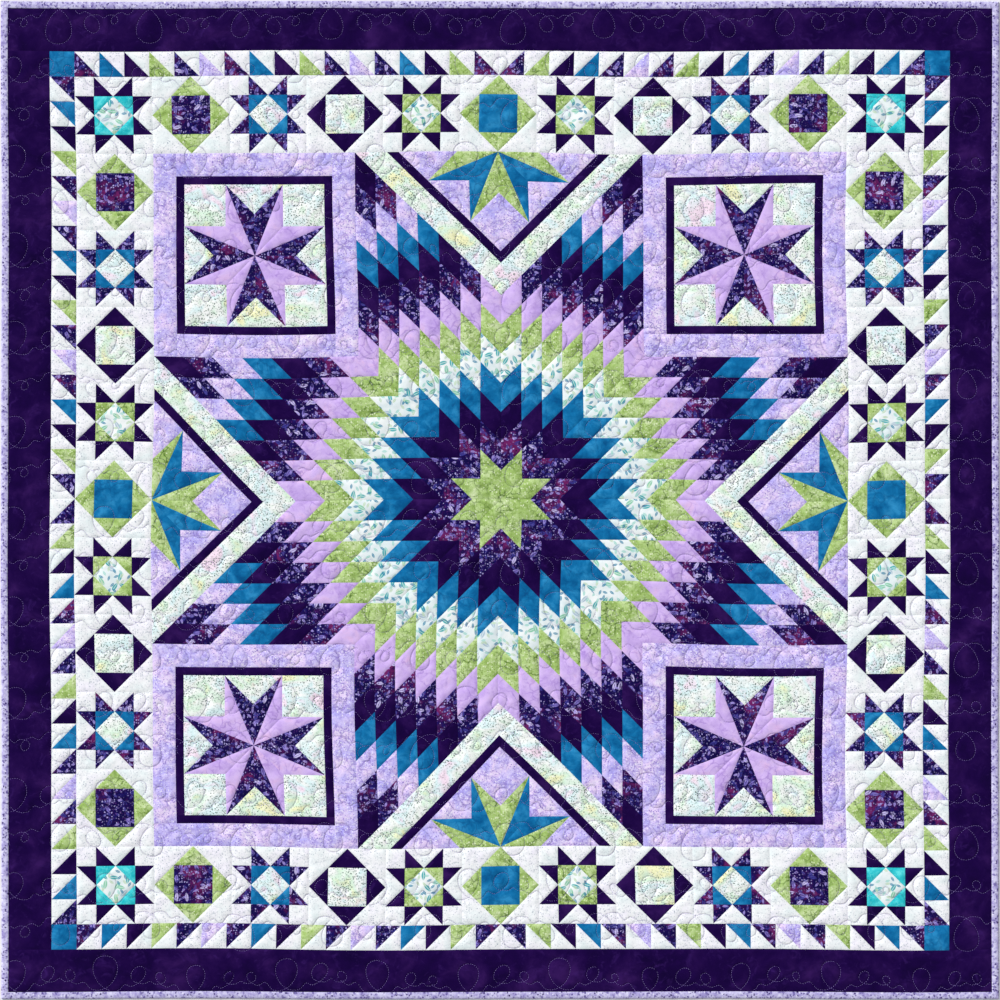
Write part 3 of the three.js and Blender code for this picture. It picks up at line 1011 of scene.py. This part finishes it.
# The cloth's outer face, from its seam on the face round the edge to the back: out from the seam, up
BINDING_FOLD = [(0, 3.9), (1.2, 4.7), (4, 5.3), (8, 5.4), (11.6, 5.0), (13.8, 4.1), (14.7, 2.9)]
BINDING_FOLD += [(14.8, 1.7), (14.2, 0.6), (12.8, 0.0), (6, 0.0), (0, 0.0)]
BINDING_SWELL = 0.25 * MM  # how much its fullness comes and goes
SWELL_LENGTH = 9 * MM  # for each radian of the swell
SWELL_DRIFTS = 17  # for each radian that the swell's places drift, along half a side
SWELL_FULL = 3 * MM  # how high up the fold the swell is at its full size


def binding_print(tree, place):
    """Lilac print: small sprigs and dark specks on lilac, which read as a fine dash from afar."""
    ground = mottled(tree, place, 16 * MM, [(0.36, "#a89fd6"), (0.5, "#c2bce6"), (0.64, "#dad7f6")])
    lilacs = [(0.0, "#6f62a8"), (0.3, "#d6d2f5"), (0.7, "#a196d0")]
    sprigs = leaves(tree, place, 0.1, 11 * MM, ground, lilacs)
    darks = [(0.0, "#34225f"), (0.6, "#64559c"), (0.85, "#e6e3fc")]
    return specks(tree, place, 5.5 * MM, 0.44, 24 * MM, sprigs, darks)


binding_cotton = cotton("lilac printed cotton", binding_print)
steps = round(2 * HALF / BINDING_STEP)
fold = np.array(BINDING_FOLD) * MM
run = cloth_grid("flat_binding", (len(fold) - 1, steps), (0, 0), (len(fold) - 1, 0), (0, 1))
place = read(run.data.vertices, "co", 3)
fold_at = np.rint(place[:, 0]).astype(int)
along = 2 * place[:, 1] - 1
out, up = fold[fold_at].T
swell = BINDING_SWELL * np.sin(along * HALF / SWELL_LENGTH + 2 * np.sin(along * SWELL_DRIFTS))
swell *= np.minimum(up / SWELL_FULL, 1)
reach = BORDER_OUTER + out
shaped = np.column_stack([reach, reach * along, up + swell * (out > 0)])
run.data.vertices.foreach_set("co", shaped.astype(np.float32).ravel())
faces = len(run.data.polygons)
sew(run, [binding_cotton], np.zeros(faces, int), np.zeros(faces, int), seed=40)
for side, quarters in {"right": 0, "top": 1, "left": 2, "bottom": 3}.items():
    piece = turned_copy(run, f"folded_binding_{side}", 90 * quarters)
    corners = read(piece.data.vertices, "co", 3)
    corners[:, :2] = drifted(corners[:, :2])
    piece.data.vertices.foreach_set("co", corners.ravel())
    thickness = piece.modifiers.new("cloth", "SOLIDIFY")
    thickness.thickness = BINDING_CLOTH
    thickness.offset = -1
    pick(piece)
    bpy.ops.object.modifier_apply(modifier=thickness.name)
    bpy.ops.object.shade_smooth_by_angle(angle=SHARPEST_FOLD)
    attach(piece, "root")
    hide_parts(f"binding_{side}")
bpy.data.objects.remove(run)

# Quilting thread
# Pale lilac polyester machine thread, one long line of stitches to a row. Each stitch stands a little
# proud of the cloth between the holes where it dips through all the layers.

THREAD_WIDTH = 0.6 * MM  # real thread is 0.3 mm; drawn wider, so that it shows at this distance
THREAD_RISE = 0.3 * MM
STITCH_SHARE = 0.95  # of the pitch that a stitch shows on top
ROWS_PER_PIECE = 6
THREAD_MARGIN = 2 * MM  # between stitches and the binding's seam


def thread_colour(tree, place):
    """Polyester machine thread: pale lilac, a little lighter and darker as it twists."""
    return mottled(tree, place, 8 * MM, [(0.4, "#9880d0"), (0.6, "#b09be4")])


thread = cotton("pale lilac polyester thread", thread_colour)
SPINDLE = np.array([(-1, 0, 0), (1, 0, 0), (0, -1, 0), (0, 0, 1), (0, 1, 0), (0, 0, -1)])
SPINDLE_FACES = np.array(
    [(0, 3, 2), (0, 4, 3), (0, 5, 4), (0, 2, 5), (1, 2, 3), (1, 3, 4), (1, 4, 5), (1, 5, 2)]
)
bpy.context.view_layer.update()
depsgraph = bpy.context.evaluated_depsgraph_get()
ABOVE = 0.05  # where the rays that find the face start
for first in range(0, QUILTING_ROWS, ROWS_PER_PIECE):
    points = []
    for line in quilting_rows[first : first + ROWS_PER_PIECE]:
        middles = line[1:-1:2]
        starts, stops = line[0:-2:2], line[2::2]
        inner = np.abs(middles).max(axis=1) < BORDER_OUTER - THREAD_MARGIN
        for start, stop in zip(drifted(starts[inner]), drifted(stops[inner])):
            rays = [(x, y, ABOVE) for x, y in (start, stop)]
            points.append([bpy.context.scene.ray_cast(depsgraph, ray, (0, 0, -1))[1] for ray in rays])
    ends = np.array(points)
    middle = ends.mean(axis=1) + np.array([0, 0, THREAD_RISE / 3])
    forward = (ends[:, 1] - ends[:, 0]) * STITCH_SHARE / 2
    aside = np.cross([0, 0, 1], forward)
    aside *= THREAD_WIDTH / 2 / np.linalg.norm(aside, axis=1, keepdims=True)
    upward = np.array([0, 0, THREAD_RISE])
    corners = (
        middle[:, None]
        + SPINDLE[None, :, :1] * forward[:, None]
        + SPINDLE[None, :, 1:2] * aside[:, None]
        + SPINDLE[None, :, 2:] * upward
    )
    faces = SPINDLE_FACES[None] + 6 * np.arange(len(ends))[:, None, None]
    mesh = bpy.data.meshes.new(f"quilting_thread_{first // ROWS_PER_PIECE + 1}")
    mesh.from_pydata(corners.reshape(-1, 3), [], faces.reshape(-1, 3).tolist())
    mesh.materials.append(thread)
    piece = bpy.data.objects.new(mesh.name, mesh)
    bpy.context.scene.collection.objects.link(piece)
    pick(piece)
    bpy.ops.object.shade_smooth()
    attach(piece, "root")

# Floor, light and camera
# A plain pale floor, soft studio light from the upper left and a fill, and the camera straight above.

FLOOR_DROP = 0.3 * MM
FLOOR_SIDE = 60
bpy.ops.object.select_all(action="DESELECT")
bpy.ops.mesh.primitive_plane_add(size=FLOOR_SIDE, location=(0, 0, -FLOOR_DROP))
floor = bpy.context.object
floor.name = "floor"
paper = bpy.data.materials.new("matt pale backdrop paper")
paper.use_nodes = True
matt = paper.node_tree.nodes["Principled BSDF"].inputs
matt["Base Color"].default_value = linear("#eeeef0")
matt["Roughness"].default_value = 0.9
floor.data.materials.append(paper)

world = bpy.data.worlds.new("soft studio")
bpy.context.scene.world = world
world.use_nodes = True
sky = world.node_tree.nodes["Background"].inputs
sky["Color"].default_value = linear("#fbfbff")
sky["Strength"].default_value = 0.46
key = bpy.data.objects.new("key", bpy.data.lights.new("key", "SUN"))
key.data.energy = 2.9
key.data.angle = math.radians(14)
key.rotation_euler = Vector((-1, 1, 1.0)).to_track_quat("Z", "Y").to_euler()
bpy.context.scene.collection.objects.link(key)

CAMERA_HEIGHT = 6.0
QUILT_SHARE = 0.997  # of the view's width
camera = bpy.data.objects.new("camera", bpy.data.cameras.new("camera"))
camera.location = (0, 0, CAMERA_HEIGHT)
camera.data.sensor_width = 36
camera.data.lens = camera.data.sensor_width * CAMERA_HEIGHT * QUILT_SHARE / (2 * HALF)
camera.data.clip_end = 2 * FLOOR_SIDE
bpy.context.scene.collection.objects.link(camera)
bpy.context.scene.camera = camera
bpy.context.scene.view_settings.view_transform = "Standard"
